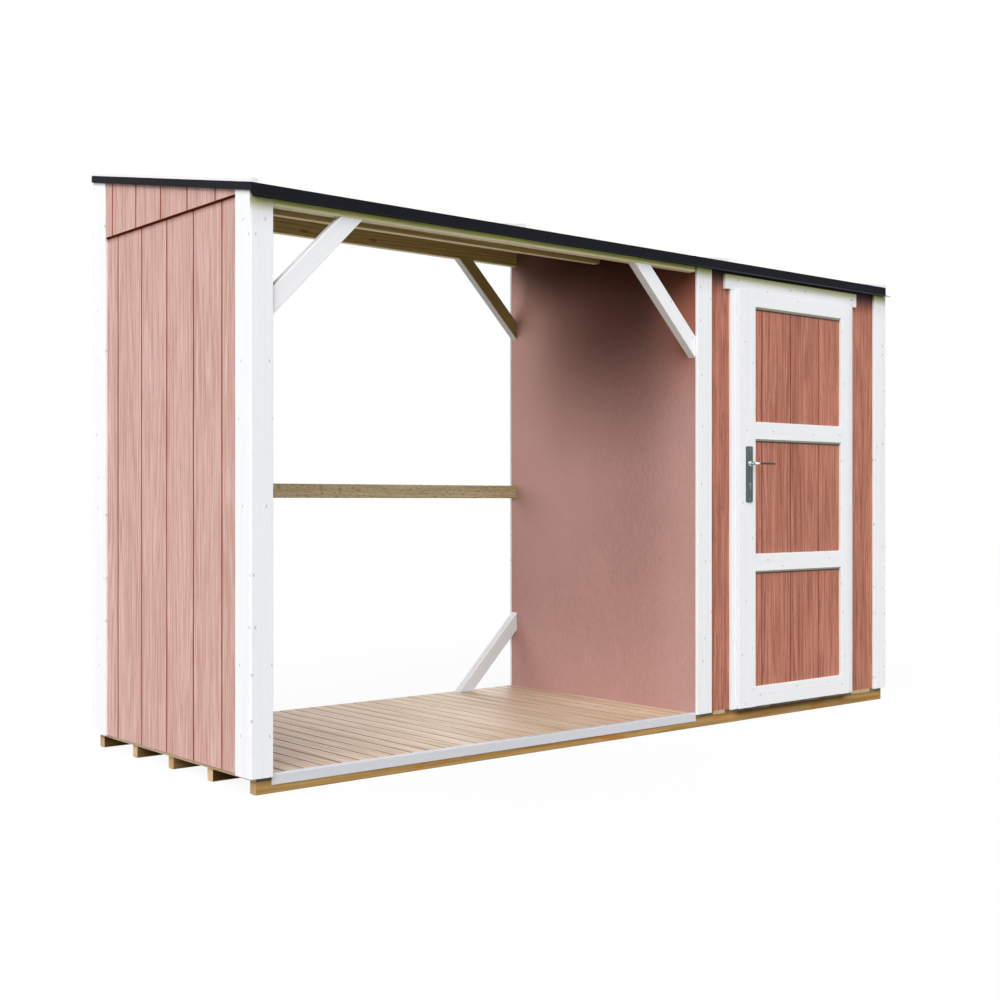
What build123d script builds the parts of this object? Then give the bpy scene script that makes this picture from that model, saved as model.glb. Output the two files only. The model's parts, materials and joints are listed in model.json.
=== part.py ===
from build123d import *
import math
import os

os.makedirs("parts", exist_ok=True)

# Log store: an open bay for firewood with a closed tool shed beside it, under one sloping roof.
# Millimetres. +X runs to the right along the front, +Y to the rear, +Z up.
# The origin lies on the ground under the centre of the base.

# Overall sizes; the depth is taken over the white corner boards
depth = 1219.0
bay_width = 2056.0
roof_pitch = 11.0

# Base
bearer_count = 5
bearer_width = 38.0
bearer_height = 44.0
bearer_end_inset = 24.0
floor_thickness = 16.0
edge_strip_thickness = 3.0
edge_strip_lip = 20.0
edge_strip_drop = 32.0

# Walls
board_thickness = 12.0
cladding_thickness = 10.0
frame_thickness = 48.0
lining_thickness = 12.0
gable_thickness = 8.5
plate_height = 48.0
cladding_lap = 3.0
board_lap = 4.0
side_board_width = 94.5
middle_board_width = 106.7
middle_board_lap = 14.4
right_board_width = 110.2

# Open frame of the bay
beam_thickness = 38.0
front_beam_height = 42.0
purlin_height = 44.0
rear_beam_height = 95.0
rail_height = 61.0
rail_above_floor = 912.0
brace_width = 60.0
brace_reach = 356.0

# Roof
felt_thickness = 4.0
roof_edge_height = 22.0
fascia_height = 40.0
roof_front_overhang = 12.0
roof_left_overhang = 7.0
roof_right_inset = 16.0
drip_thickness = 4.0
drip_height = 5.0
drip_end_overhang = 33.0
batten_count = 4
batten_width = 25.0
batten_height = 14.0

# Doorway
leaf_width = 778.0
leaf_height = 1802.0
leaf_to_bay = 262.0
leaf_to_right_end = 312.0
leaf_gap = 7.0
leaf_floor_gap = 6.0
leaf_proud = 18.0
leaf_board_thickness = 12.0
leaf_sheet_thickness = 20.0
casing_width = 39.5
header_overhang = 33.0
header_height = 72.5
door_post_width = 60.0
door_stop_lap = 12.0

# Door leaf
lock_stile_width = 97.0
hinge_stile_width = 67.0
rail_width = 83.0
top_rail_width = 67.0
rail_chamfer = 8.0
panel_count = 3

# Hinges
hinge_radius = 5.0
hinge_pin_radius = 3.0
hinge_pin_clearance = 0.1
hinge_leaf_clearance = 1.0
hinge_casing_clearance = 2.0
hinge_length = 75.0
hinge_joint_gap = 0.5
hinge_plate_thickness = 3.0
hinge_plate_width = 28.0
hinge_height_shares = (0.1, 0.5, 0.9)

# Lever set
handle_height = 1062.0
handle_backset = 51.0
plate_width = 42.0
plate_above = 75.0
plate_below = 169.0
plate_thickness = 6.0
lever_neck_radius = 8.0
lever_neck_clearance = 0.5
lever_projection = 42.0
lever_length = 125.0
lever_radius = 6.0

# Planes across the length, from the end wall, the bay and the shed front with its door
wall_thickness = board_thickness + cladding_thickness + frame_thickness + lining_thickness
length = wall_thickness + bay_width + leaf_to_bay + leaf_width + leaf_to_right_end
left = -length / 2
right = length / 2
left_cladding_face = left + board_thickness
left_frame_face = left_cladding_face + cladding_thickness
left_lining_back = left_frame_face + frame_thickness
bay_left = left_lining_back + lining_thickness
bay_right = bay_left + bay_width
partition_face = bay_right + lining_thickness
shed_left = partition_face + frame_thickness
right_cladding_face = right - board_thickness
right_frame_face = right_cladding_face - cladding_thickness
shed_right = right_frame_face - frame_thickness

# Planes across the depth
front = -depth / 2
rear = depth / 2
front_cladding_face = front + board_thickness
front_frame_face = front_cladding_face + cladding_thickness
shed_front = front_frame_face + frame_thickness
rear_cladding_face = rear - board_thickness
rear_frame_face = rear_cladding_face - cladding_thickness
shed_rear = rear_frame_face - frame_thickness
side_board_front_end = front_cladding_face + side_board_width
side_board_rear_end = rear_cladding_face - side_board_width
beam_back = front_cladding_face + beam_thickness
purlin_front = -beam_thickness / 2
purlin_back = beam_thickness / 2
rear_beam_front = rear_cladding_face - beam_thickness

# Levels
floor_top = bearer_height + floor_thickness
cladding_foot = floor_top - cladding_lap
board_foot = floor_top - board_lap
post_foot = floor_top + plate_height
leaf_foot = floor_top + leaf_floor_gap
leaf_top = leaf_foot + leaf_height
header_foot = leaf_top + leaf_floor_gap
fascia_foot = header_foot + header_height
roof_front_height = fascia_foot + fascia_height
lintel_foot = leaf_top - door_stop_lap
rail_foot = floor_top + rail_above_floor

# Roof planes
rise_per_run = math.tan(math.radians(roof_pitch))
roof_front = front - roof_front_overhang
roof_left = left - roof_left_overhang
roof_right = right - roof_right_inset


def roof_top(y):
    # Height of the felt's upper face at a place across the depth
    return roof_front_height + (y - roof_front) * rise_per_run


def underside(y):
    # Height of the deck's lower face at a place across the depth
    return roof_top(y) - roof_edge_height


front_beam_foot = underside(front_cladding_face) - front_beam_height
purlin_foot = underside(purlin_front) - purlin_height
rear_beam_foot = underside(rear_beam_front) - rear_beam_height
gable_foot = underside(front_cladding_face)


def block(x0, x1, y0, y1, z0, z1):
    # A square-edged solid between three pairs of planes
    return Pos((x0 + x1) / 2, (y0 + y1) / 2, (z0 + z1) / 2) * Box(x1 - x0, y1 - y0, z1 - z0)


def prism_x(outline, x0, x1):
    # An outline in Y and Z drawn out along X
    face = make_face(Polyline(*outline, close=True))
    return extrude(Plane.YZ.offset(x0) * face, amount=x1 - x0)


def prism_y(outline, y0, y1):
    # An outline in X and Z drawn out along Y
    plane = Plane(origin=(0, y1, 0), x_dir=(1, 0, 0), z_dir=(0, -1, 0))
    return extrude(plane * make_face(Polyline(*outline, close=True)), amount=y1 - y0)


def under_roof(x0, x1, y0, y1, z0):
    # A piece with a level foot whose top is cut to the slope of the deck
    return prism_x([(y0, z0), (y1, z0), (y1, underside(y1)), (y0, underside(y0))], x0, x1)


def post(x0, x1, y0, y1):
    # A post on the sole plate, cut to the slope under the rake plate
    top0 = underside(y0) - plate_height
    top1 = underside(y1) - plate_height
    return prism_x([(y0, post_foot), (y1, post_foot), (y1, top1), (y0, top0)], x0, x1)


def rake_plate(x0, x1, y0, y1):
    # A plate under the deck that follows its slope
    foot0 = underside(y0) - plate_height
    foot1 = underside(y1) - plate_height
    return prism_x([(y0, foot0), (y1, foot1), (y1, underside(y1)), (y0, underside(y0))], x0, x1)


def brace(corner_x, corner_z, way_x, way_z, y0, y1):
    # A strut at forty-five degrees across a corner of the frame
    inner = brace_reach - brace_width * math.sqrt(2)
    outline = [
        (corner_x + way_x * inner, corner_z),
        (corner_x + way_x * brace_reach, corner_z),
        (corner_x, corner_z + way_z * brace_reach),
        (corner_x, corner_z + way_z * inner),
    ]
    return prism_y(outline, y0, y1)


def save(name, *solids):
    # One file for each node
    shape = solids[0] if len(solids) == 1 else Compound(children=list(solids))
    export_step(shape, f"parts/{name}.step")


# Base
bearer_pitch = (rear_cladding_face - front_cladding_face - bearer_width) / (bearer_count - 1)
bearers = []
for index in range(bearer_count):
    y0 = front_cladding_face + index * bearer_pitch
    bearers.append(
        block(left + bearer_end_inset, right - bearer_end_inset, y0, y0 + bearer_width, 0, bearer_height)
    )
save("floor_bearers", *bearers)

save(
    "floor",
    block(
        left_frame_face, right_frame_face, front_cladding_face, rear_cladding_face, bearer_height, floor_top
    ),
)

strip_front = front_cladding_face - edge_strip_thickness
strip_outline = [
    (strip_front, floor_top - edge_strip_drop),
    (front_cladding_face, floor_top - edge_strip_drop),
    (front_cladding_face, floor_top),
    (front_cladding_face + edge_strip_lip, floor_top),
    (front_cladding_face + edge_strip_lip, floor_top + edge_strip_thickness),
    (strip_front, floor_top + edge_strip_thickness),
]
save("floor_edge_strip", prism_x(strip_outline, bay_left, bay_right - middle_board_lap))

# Left end wall
save(
    "left_cladding",
    under_roof(left_cladding_face, left_frame_face, front_cladding_face, rear_cladding_face, cladding_foot),
)
save(
    "left_gable",
    under_roof(
        left_cladding_face - gable_thickness,
        left_cladding_face,
        side_board_front_end,
        side_board_rear_end,
        gable_foot,
    ),
)
save(
    "left_lining",
    under_roof(left_lining_back, bay_left, front_cladding_face, rear_cladding_face, floor_top),
)
half_frame = frame_thickness / 2
save(
    "left_posts",
    post(left_frame_face, left_lining_back, front_cladding_face, front_cladding_face + frame_thickness),
    post(left_frame_face, left_lining_back, -half_frame, half_frame),
    post(left_frame_face, left_lining_back, rear_cladding_face - frame_thickness, rear_cladding_face),
)

# Partition between the bay and the shed
save(
    "partition_lining",
    under_roof(bay_right, partition_face, front_cladding_face, rear_cladding_face, floor_top),
)
save(
    "partition_posts",
    post(partition_face, shed_left, front_frame_face, shed_front),
    post(partition_face, shed_left, -half_frame, half_frame),
    post(partition_face, shed_left, shed_rear, rear_frame_face),
)

# Doorway
leaf_right = right - leaf_to_right_end
leaf_left = leaf_right - leaf_width
opening_left = leaf_left - leaf_gap
opening_right = leaf_right + leaf_gap
save(
    "front_cladding_left",
    under_roof(partition_face, opening_left, front_cladding_face, front_frame_face, floor_top),
)
save(
    "front_cladding_right",
    under_roof(opening_right, right_frame_face, front_cladding_face, front_frame_face, floor_top),
)
save(
    "front_cladding_over",
    under_roof(opening_left, opening_right, front_cladding_face, front_frame_face, header_foot),
)
left_stop = leaf_left + door_stop_lap
right_stop = leaf_right - door_stop_lap
save(
    "door_posts",
    block(
        left_stop - door_post_width, left_stop, front_frame_face, shed_front, floor_top, front_beam_foot
    ),
    block(
        right_stop, right_stop + door_post_width, front_frame_face, shed_front, floor_top, front_beam_foot
    ),
)
save(
    "door_lintel",
    block(left_stop, right_stop, front_frame_face, shed_front, lintel_foot, front_beam_foot),
)
save(
    "door_casing",
    block(opening_left - casing_width, opening_left, front, front_cladding_face, board_foot, header_foot),
    block(opening_right, opening_right + casing_width, front, front_cladding_face, board_foot, header_foot),
)
save(
    "door_header",
    block(
        opening_left - casing_width - header_overhang,
        opening_right + casing_width + header_overhang,
        front,
        front_cladding_face,
        header_foot,
        fascia_foot,
    ),
)

# Right end wall
save(
    "right_cladding",
    under_roof(
        right_frame_face, right_cladding_face, front_cladding_face, rear_cladding_face, cladding_foot
    ),
)
save(
    "right_gable",
    under_roof(
        right_cladding_face,
        right_cladding_face + gable_thickness,
        side_board_front_end,
        side_board_rear_end,
        gable_foot,
    ),
)
save(
    "right_posts",
    post(shed_right, right_frame_face, front_frame_face, shed_front),
    post(shed_right, right_frame_face, -half_frame, half_frame),
    post(shed_right, right_frame_face, shed_rear, rear_frame_face),
)

# Rear wall of the shed
save(
    "rear_cladding",
    under_roof(partition_face, right_frame_face, rear_frame_face, rear_cladding_face, floor_top),
)
rear_bay = (shed_right - shed_left) / 3
rear_plate_foot = underside(shed_rear) - plate_height
rear_studs = []
for index in (1, 2):
    x_mid = shed_left + index * rear_bay
    rear_studs.append(
        block(x_mid - half_frame, x_mid + half_frame, shed_rear, rear_frame_face, post_foot, rear_plate_foot)
    )
save("rear_posts", *rear_studs)

# Plates
save(
    "sole_plates",
    block(
        left_frame_face, left_lining_back, front_cladding_face, rear_cladding_face, floor_top, post_foot
    ),
    block(partition_face, shed_left, front_frame_face, rear_frame_face, floor_top, post_foot),
    block(shed_right, right_frame_face, front_frame_face, rear_frame_face, floor_top, post_foot),
)
save(
    "shed_sole_plates",
    block(shed_left, shed_right, shed_rear, rear_frame_face, floor_top, post_foot),
    block(shed_left, left_stop - door_post_width, front_frame_face, shed_front, floor_top, post_foot),
    block(right_stop + door_post_width, shed_right, front_frame_face, shed_front, floor_top, post_foot),
)
save(
    "rake_plates",
    rake_plate(left_frame_face, left_lining_back, front_cladding_face, rear_cladding_face),
    rake_plate(partition_face, shed_left, front_frame_face, rear_frame_face),
    rake_plate(shed_right, right_frame_face, front_frame_face, rear_frame_face),
)
save(
    "shed_top_plates",
    under_roof(shed_left, shed_right, front_frame_face, shed_front, front_beam_foot),
    under_roof(shed_left, shed_right, shed_rear, rear_frame_face, rear_plate_foot),
)

# White boards on the wall ends and on the sides
middle_left = bay_right - middle_board_lap
middle_right = middle_left + middle_board_width
save(
    "end_boards",
    block(left, bay_left, front, front_cladding_face, board_foot, fascia_foot),
    block(middle_left, middle_right, front, front_cladding_face, board_foot, fascia_foot),
    block(right - right_board_width, right, front, front_cladding_face, board_foot, fascia_foot),
    under_roof(left, bay_left, rear_cladding_face, rear, board_foot),
    under_roof(middle_left, middle_right, rear_cladding_face, rear, board_foot),
    under_roof(right - right_board_width, right, rear_cladding_face, rear, board_foot),
)
save(
    "side_boards",
    under_roof(left, left_cladding_face, front_cladding_face, side_board_front_end, board_foot),
    under_roof(left, left_cladding_face, side_board_rear_end, rear_cladding_face, board_foot),
    under_roof(right_cladding_face, right, front_cladding_face, side_board_front_end, board_foot),
    under_roof(right_cladding_face, right, side_board_rear_end, rear_cladding_face, board_foot),
)

# Open frame of the bay
save("front_beam", under_roof(bay_left, bay_right, front_cladding_face, beam_back, front_beam_foot))
save(
    "purlins",
    under_roof(bay_left, bay_right, purlin_front, purlin_back, purlin_foot),
    under_roof(shed_left, shed_right, purlin_front, purlin_back, purlin_foot),
)
save("rear_beam", under_roof(bay_left, bay_right, rear_beam_front, rear_cladding_face, rear_beam_foot))
save(
    "rear_rail",
    block(bay_left, bay_right, rear_beam_front, rear_cladding_face, rail_foot, rail_foot + rail_height),
)
save(
    "front_braces",
    brace(bay_left, front_beam_foot, 1, -1, front_cladding_face, beam_back),
    brace(bay_right, front_beam_foot, -1, -1, front_cladding_face, beam_back),
)
save(
    "rear_upper_braces",
    brace(bay_left, rear_beam_foot, 1, -1, rear_beam_front, rear_cladding_face),
    brace(bay_right, rear_beam_foot, -1, -1, rear_beam_front, rear_cladding_face),
)
save(
    "rear_lower_braces",
    brace(bay_left, floor_top, 1, 1, rear_beam_front, rear_cladding_face),
    brace(bay_right, floor_top, -1, 1, rear_beam_front, rear_cladding_face),
)

# Roof
deck_front = roof_front + felt_thickness
deck_rear = rear - felt_thickness
deck_outline = [
    (deck_front, underside(deck_front)),
    (deck_rear, underside(deck_rear)),
    (deck_rear, roof_top(deck_rear) - felt_thickness),
    (deck_front, roof_top(deck_front) - felt_thickness),
]
deck = prism_x(deck_outline, roof_left + felt_thickness, roof_right - felt_thickness)
save("roof_deck", deck)
felt_outline = [
    (roof_front, underside(roof_front)),
    (rear, underside(rear)),
    (rear, roof_top(rear)),
    (roof_front, roof_top(roof_front)),
]
save("roof_felt", prism_x(felt_outline, roof_left, roof_right) - deck)
save("roof_fascia", under_roof(roof_left, roof_right, roof_front, front_cladding_face, fascia_foot))
save(
    "drip_edge",
    block(
        roof_left,
        roof_right + drip_end_overhang,
        roof_front - drip_thickness,
        roof_front,
        fascia_foot,
        fascia_foot + drip_height,
    ),
)
batten_pitch = (roof_right - roof_left - batten_width) / (batten_count - 1)
batten_outline = [
    (roof_front, roof_top(roof_front)),
    (rear, roof_top(rear)),
    (rear, roof_top(rear) + batten_height),
    (roof_front, roof_top(roof_front) + batten_height),
]
battens = []
for index in range(batten_count):
    x0 = roof_left + index * batten_pitch
    battens.append(prism_x(batten_outline, x0, x0 + batten_width))
save("roof_battens", *battens)

# Door leaf
leaf_front = front - leaf_proud
leaf_sheet_front = leaf_front + leaf_board_thickness
leaf_back = leaf_sheet_front + leaf_sheet_thickness
handle_x = leaf_left + handle_backset
handle_z = floor_top + handle_height
bore_radius = lever_neck_radius + lever_neck_clearance
bore_length = 2 * (leaf_back - leaf_front + plate_thickness)
bore = Pos(handle_x, leaf_front, handle_z) * Rot(90, 0, 0) * Cylinder(bore_radius, bore_length)
save(
    "door_sheet",
    block(leaf_left, leaf_right, leaf_sheet_front, leaf_back, leaf_foot, leaf_top) - bore,
)
panel_left = leaf_left + lock_stile_width
panel_right = leaf_right - hinge_stile_width
save(
    "door_stiles",
    block(leaf_left, panel_left, leaf_front, leaf_sheet_front, leaf_foot, leaf_top) - bore,
    block(panel_right, leaf_right, leaf_front, leaf_sheet_front, leaf_foot, leaf_top),
)
panel_height = (leaf_height - top_rail_width - panel_count * rail_width) / panel_count


def leaf_rail(z0, z1, chamfer):
    # A rail whose lower front edge is cut at forty-five degrees
    outline = [
        (leaf_sheet_front, z0),
        (leaf_sheet_front, z1),
        (leaf_front, z1),
        (leaf_front, z0 + chamfer),
        (leaf_front + chamfer, z0),
    ]
    return prism_x(outline, panel_left, panel_right)


rails = []
for index in range(panel_count):
    z0 = leaf_foot + index * (rail_width + panel_height)
    rails.append(leaf_rail(z0, z0 + rail_width, rail_chamfer))
rails.append(leaf_rail(leaf_top - top_rail_width, leaf_top, rail_chamfer))
save("door_rails", *rails)

# Hinges, with the pin standing in the fixed half
hinge_x = leaf_right + hinge_radius + hinge_leaf_clearance
hinge_y = front - hinge_radius - hinge_casing_clearance
knuckle = hinge_length / 3
fixed_hinges = []
moving_hinges = []
for share in hinge_height_shares:
    z_mid = leaf_foot + share * leaf_height
    z_low = z_mid - hinge_length / 2
    z_high = z_mid + hinge_length / 2
    knuckle_low = z_mid - knuckle / 2
    knuckle_high = z_mid + knuckle / 2
    centre = Pos(hinge_x, hinge_y, z_mid)
    pin = centre * Cylinder(hinge_pin_radius, hinge_length)
    collars = centre * Cylinder(hinge_radius, hinge_length)
    collars -= centre * Cylinder(hinge_radius, knuckle)
    plate = block(
        hinge_x, hinge_x + hinge_plate_width, front - hinge_plate_thickness, front, z_low, z_high
    )
    plate -= centre * Cylinder(hinge_radius + hinge_joint_gap, knuckle)
    fixed_hinges.append(pin + collars + plate)
    ring_height = knuckle - 2 * hinge_joint_gap
    flap = block(
        leaf_right,
        hinge_x,
        hinge_y - hinge_plate_thickness / 2,
        hinge_y + hinge_plate_thickness / 2,
        z_mid - ring_height / 2,
        z_mid + ring_height / 2,
    )
    ring = flap + centre * Cylinder(hinge_radius, ring_height)
    ring -= centre * Cylinder(hinge_pin_radius + hinge_pin_clearance, ring_height)
    moving_hinges.append(ring)
save("hinge_fixed_halves", *fixed_hinges)
save("hinge_moving_halves", *moving_hinges)

# Lever set
plate_box = (handle_x - plate_width / 2, handle_x + plate_width / 2)
plate_foot = handle_z - plate_below
plate_top = handle_z + plate_above
outer_plate = block(*plate_box, leaf_front - plate_thickness, leaf_front, plate_foot, plate_top) - bore
inner_plate = block(*plate_box, leaf_back, leaf_back + plate_thickness, plate_foot, plate_top) - bore
save("handle_plates", outer_plate, inner_plate)
lever_outer = leaf_front - plate_thickness - lever_projection
lever_inner = leaf_back + plate_thickness + lever_projection
neck_length = lever_inner - lever_outer
neck_middle = (lever_inner + lever_outer) / 2
neck = Pos(handle_x, neck_middle, handle_z) * Rot(90, 0, 0) * Cylinder(lever_neck_radius, neck_length)
lever = neck
for y_bar in (lever_outer, lever_inner):
    bar = Rot(0, 90, 0) * Cylinder(lever_radius, lever_length)
    lever += Pos(handle_x + lever_length / 2, y_bar, handle_z) * bar
    lever += Pos(handle_x, y_bar, handle_z) * Sphere(lever_neck_radius)
    lever += Pos(handle_x + lever_length, y_bar, handle_z) * Sphere(lever_radius)
save("lever_handle", lever)
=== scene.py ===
import json
import math

import bmesh
import bpy
import numpy as np
from bpy.props import FloatProperty, FloatVectorProperty, IntProperty, PointerProperty
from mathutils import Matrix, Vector


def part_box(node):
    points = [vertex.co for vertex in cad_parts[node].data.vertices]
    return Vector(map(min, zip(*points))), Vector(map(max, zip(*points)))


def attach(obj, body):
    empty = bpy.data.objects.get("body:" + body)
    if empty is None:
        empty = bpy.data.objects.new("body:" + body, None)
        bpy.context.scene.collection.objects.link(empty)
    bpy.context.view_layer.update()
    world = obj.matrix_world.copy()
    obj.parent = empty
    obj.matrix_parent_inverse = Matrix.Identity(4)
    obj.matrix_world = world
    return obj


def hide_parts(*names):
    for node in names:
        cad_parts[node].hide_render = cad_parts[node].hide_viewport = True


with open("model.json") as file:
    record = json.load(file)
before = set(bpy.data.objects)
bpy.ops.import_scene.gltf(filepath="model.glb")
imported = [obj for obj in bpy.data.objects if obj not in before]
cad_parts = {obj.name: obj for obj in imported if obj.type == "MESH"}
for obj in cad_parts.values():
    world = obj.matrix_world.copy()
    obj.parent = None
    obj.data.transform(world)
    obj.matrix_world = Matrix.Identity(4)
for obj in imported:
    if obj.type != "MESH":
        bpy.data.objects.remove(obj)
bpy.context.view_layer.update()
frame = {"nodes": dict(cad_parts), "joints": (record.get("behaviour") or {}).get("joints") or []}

bl_info = {
    "name": "Log store",
    "version": (1, 0, 0),
    "blender": (4, 5, 0),
    "location": "View3D > Sidebar > Log store",
    "description": "Dresses a firewood store with an open bay and a tool shed",
    "category": "Object",
}

# Planes of the store, in metres, read from the solids
FLOOR_LOW, FLOOR_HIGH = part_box("floor")
BOARD_LOW, BOARD_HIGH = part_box("end_boards")
LEFT_SHEET_LOW, LEFT_SHEET_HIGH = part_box("left_cladding")
GABLE_LOW, GABLE_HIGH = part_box("left_gable")
BEAM_LOW, BEAM_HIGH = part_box("front_beam")
FELT_LOW, FELT_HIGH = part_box("roof_felt")
DECK_LOW, DECK_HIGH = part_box("roof_deck")
FASCIA_LOW, FASCIA_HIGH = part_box("roof_fascia")
LEAF_LOW, LEAF_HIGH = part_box("door_sheet")
STILE_LOW, STILE_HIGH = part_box("door_stiles")

FRONT, REAR = BOARD_LOW.y, BOARD_HIGH.y
LEFT, RIGHT = BOARD_LOW.x, BOARD_HIGH.x
FACE_FRONT, FACE_REAR = LEFT_SHEET_LOW.y, LEFT_SHEET_HIGH.y
BAY_LEFT, BAY_RIGHT = BEAM_LOW.x, BEAM_HIGH.x
ROOF_PITCH = 11
ROOF_SLOPE = math.tan(math.radians(ROOF_PITCH))
LEVER_PIVOT = next(j for j in frame["joints"] if j["name"] == "lever_turn")["pos_m"]


def underside(y):
    """Height of the deck's lower face: it climbs from the front edge at the roof's pitch."""
    return FELT_LOW.z + (y - FELT_LOW.y) * ROOF_SLOPE


def srgb(red, green, blue):
    """A colour given in 0 to 255 as the eye sees it, as linear light."""
    share = np.array([red, green, blue]) / 255
    return tuple(np.where(share <= 0.04045, share / 12.92, ((share + 0.055) / 1.055) ** 2.4))


def tint(colour, share):
    """A colour with all its light multiplied by a share."""
    return tuple(min(c * share, 1) for c in colour)


def place_prop(description, default):
    return FloatProperty(description=description, default=default, unit="LENGTH", precision=4)


def length_prop(description, default):
    return FloatProperty(description=description, default=default, min=0, unit="LENGTH", precision=4)


def strength_prop(description, default):
    return FloatProperty(description=description, default=default, min=0)


def count_prop(description, default):
    return IntProperty(description=description, default=default, min=1)


def colour_prop(description, default):
    return FloatVectorProperty(
        description=description, default=default, size=3, min=0, max=1, subtype="COLOR"
    )


class LogStoreSizes(bpy.types.PropertyGroup):
    """Sizes of the boards, sheets and fixings."""

    arris: length_prop("Radius of the planed boards' long edges", 0.002)
    timber_arris: length_prop("Radius of the frame timbers' long edges", 0.0035)
    bearers: count_prop("Bearers under the floor", 5)
    bearer_width: length_prop("Thickness of a bearer across its length", 0.038)
    floor_pitch: length_prop("From one floor board to the next", 0.075)
    floor_gap: length_prop("Width of the slot between floor boards", 0.004)
    floor_slot: length_prop("Depth of that slot, down to the lap of the boards", 0.008)
    floor_joint: place_prop("Place of one floor joint along X", -1.517)
    groove_pitch: length_prop("From one groove of the sheets to the next", 0.2013)
    groove_width: length_prop("Width of a groove at the face", 0.008)
    groove_depth: length_prop("Depth of a groove", 0.004)
    end_groove: place_prop("Place of the end walls' middle groove along Y", 0.0095)
    gable_groove: place_prop("Place of the gables' middle groove along Y", 0.0407)
    door_groove: place_prop("Place of the door's middle groove along X", 1.0085)
    middle_board: length_prop("Width of the board between bay and shed", 0.0923)
    right_board: length_prop("Width of the board at the right end", 0.0932)
    casing: length_prop("Width of the boards beside the door", 0.0395)
    lock_stile: length_prop("Width of the door's stile on the lock side", 0.097)
    hinge_stile: length_prop("Width of the door's stile on the hinge side", 0.067)
    leaf_lap: length_prop("How far the door's boards lap over the casing", 0.008)
    leaf_drop: length_prop("How far the door's boards hang below its sheet", 0.007)
    rail: length_prop("Height of the door's lower rails", 0.083)
    top_rail: length_prop("Height of the door's top rail", 0.067)
    rail_chamfer: length_prop("Bevel under the door's rails", 0.008)
    panels: count_prop("Panels in the door", 3)
    deck_pitch: length_prop("Width of the roof's boards", 0.095)
    roof: length_prop("Thickness of deck and felt", 0.022)
    felt_swell: length_prop("How far the felt rises over its nominal thickness", 0.002)
    front_brace: length_prop("Width of the braces at the front", 0.064)
    rear_brace: length_prop("Width of the braces at the rear", 0.06)
    gable_bevel: length_prop("Bevel along the foot of the gables", 0.006)
    gable_drop: length_prop("How far the gables lap down over the end walls", 0.004)
    header_gap: length_prop("Open joint between the header board and the fascia", 0.0085)
    header_shift: length_prop("How far the header board sits to the left", 0.0037)
    mitre: length_prop("Mitred stretch at the fascia's left end", 0.017)
    battens: count_prop("Battens on the roof", 4)
    batten_width: length_prop("Width of a batten", 0.025)
    batten_height: length_prop("Height of a batten over the felt", 0.014)
    plate: length_prop("Thickness of the long plates behind the levers", 0.006)
    key_height: length_prop("Height of the lock cylinder", 1.024)
    lever_bend: length_prop("Radius of the levers' bend", 0.014)
    lever_neck: length_prop("Radius of the levers beside the plates", 0.0075)
    lever_bar: length_prop("Radius of the levers' grips", 0.0046)
    lever_short: length_prop("How far the grips stop short of the solid's tip", 0.012)
    nail_radius: length_prop("Radius of a floor nail's head", 0.003)
    header_nail: length_prop("Radius of the nail heads over the door", 0.0045)


class LogStoreColours(bpy.types.PropertyGroup):
    """Colours of the finishes."""

    red: colour_prop("Paint of the front sheets and the door", srgb(197, 133, 113))
    red_dark: colour_prop("Grain showing through that paint", srgb(149, 91, 75))
    # The end walls' paler reds are painted reflection: the front reds lifted by a white sheen
    red_pale: colour_prop("Weathered paint of the end walls", srgb(220, 184, 177))
    red_pale_dark: colour_prop("Grain of the end walls", srgb(190, 147, 138))
    red_lining: colour_prop("Paint of the smooth linings", srgb(178, 138, 131))
    white: colour_prop("Paint of the boards", srgb(240, 241, 245))
    pine: colour_prop("Planed floor boards", srgb(217, 196, 173))
    pine_dark: colour_prop("Late wood of the floor boards", srgb(186, 157, 129))
    timber: colour_prop("Impregnated frame timbers", srgb(186, 170, 112))
    timber_dark: colour_prop("Late wood of the timbers", srgb(134, 116, 64))
    bearer: colour_prop("Bearers under the floor", srgb(181, 146, 92))
    bearer_dark: colour_prop("Late wood of the bearers", srgb(146, 109, 57))
    felt: colour_prop("Mineral felt of the roof", srgb(19, 21, 28))
    # Painted shade under the eaves, tinted green
    green_shade: colour_prop("Green tinge under the eaves", srgb(146, 150, 78))
    steel: colour_prop("Heads of the nails", srgb(150, 150, 148))
    handle: colour_prop("Satin metal of the lever set", srgb(96, 101, 100))


class LogStoreStage(bpy.types.PropertyGroup):
    """Camera and light."""

    camera: FloatVectorProperty(
        description="Where the camera stands", default=(-4.0234, -4.5738, 0.9593), size=3, subtype="XYZ",
        unit="LENGTH",
    )
    heading: FloatProperty(
        description="Turn of the camera about the vertical", default=math.radians(-40.027), subtype="ANGLE"
    )
    lens: FloatProperty(description="Focal length in millimetres", default=50.105, unit="CAMERA")
    shift: FloatVectorProperty(
        description="Offset of the picture, as shares of its width", default=(-0.00025, 0.00085), size=2
    )
    sky: strength_prop("Strength of the soft light from all round", 0.06)
    key: strength_prop("Strength of the broad light from the front left", 3.37)
    front: strength_prop("Strength of the low light from the front", 0.75)
    rear: strength_prop("Strength of the low light from the rear left", 1.0)
    fill: strength_prop("Strength of the light on the right and rear sides", 1.5)
    ground: colour_prop("Tone of the ground in what it throws back", (0.34, 0.34, 0.30))


# Lamps: bearing from the front towards the left, rise and spread, in degrees
LAMPS = {"key": (50, 40, 50), "front": (0, 15, 40), "rear": (130, 20, 50), "fill": (-120, 25, 40)}

# Ground as it is seen: its tone and its share of glow
WHITE, PALE_GROUND, GROUND_GLOW = (1, 1, 1), (0.95, 0.95, 0.95), 0.92
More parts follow.
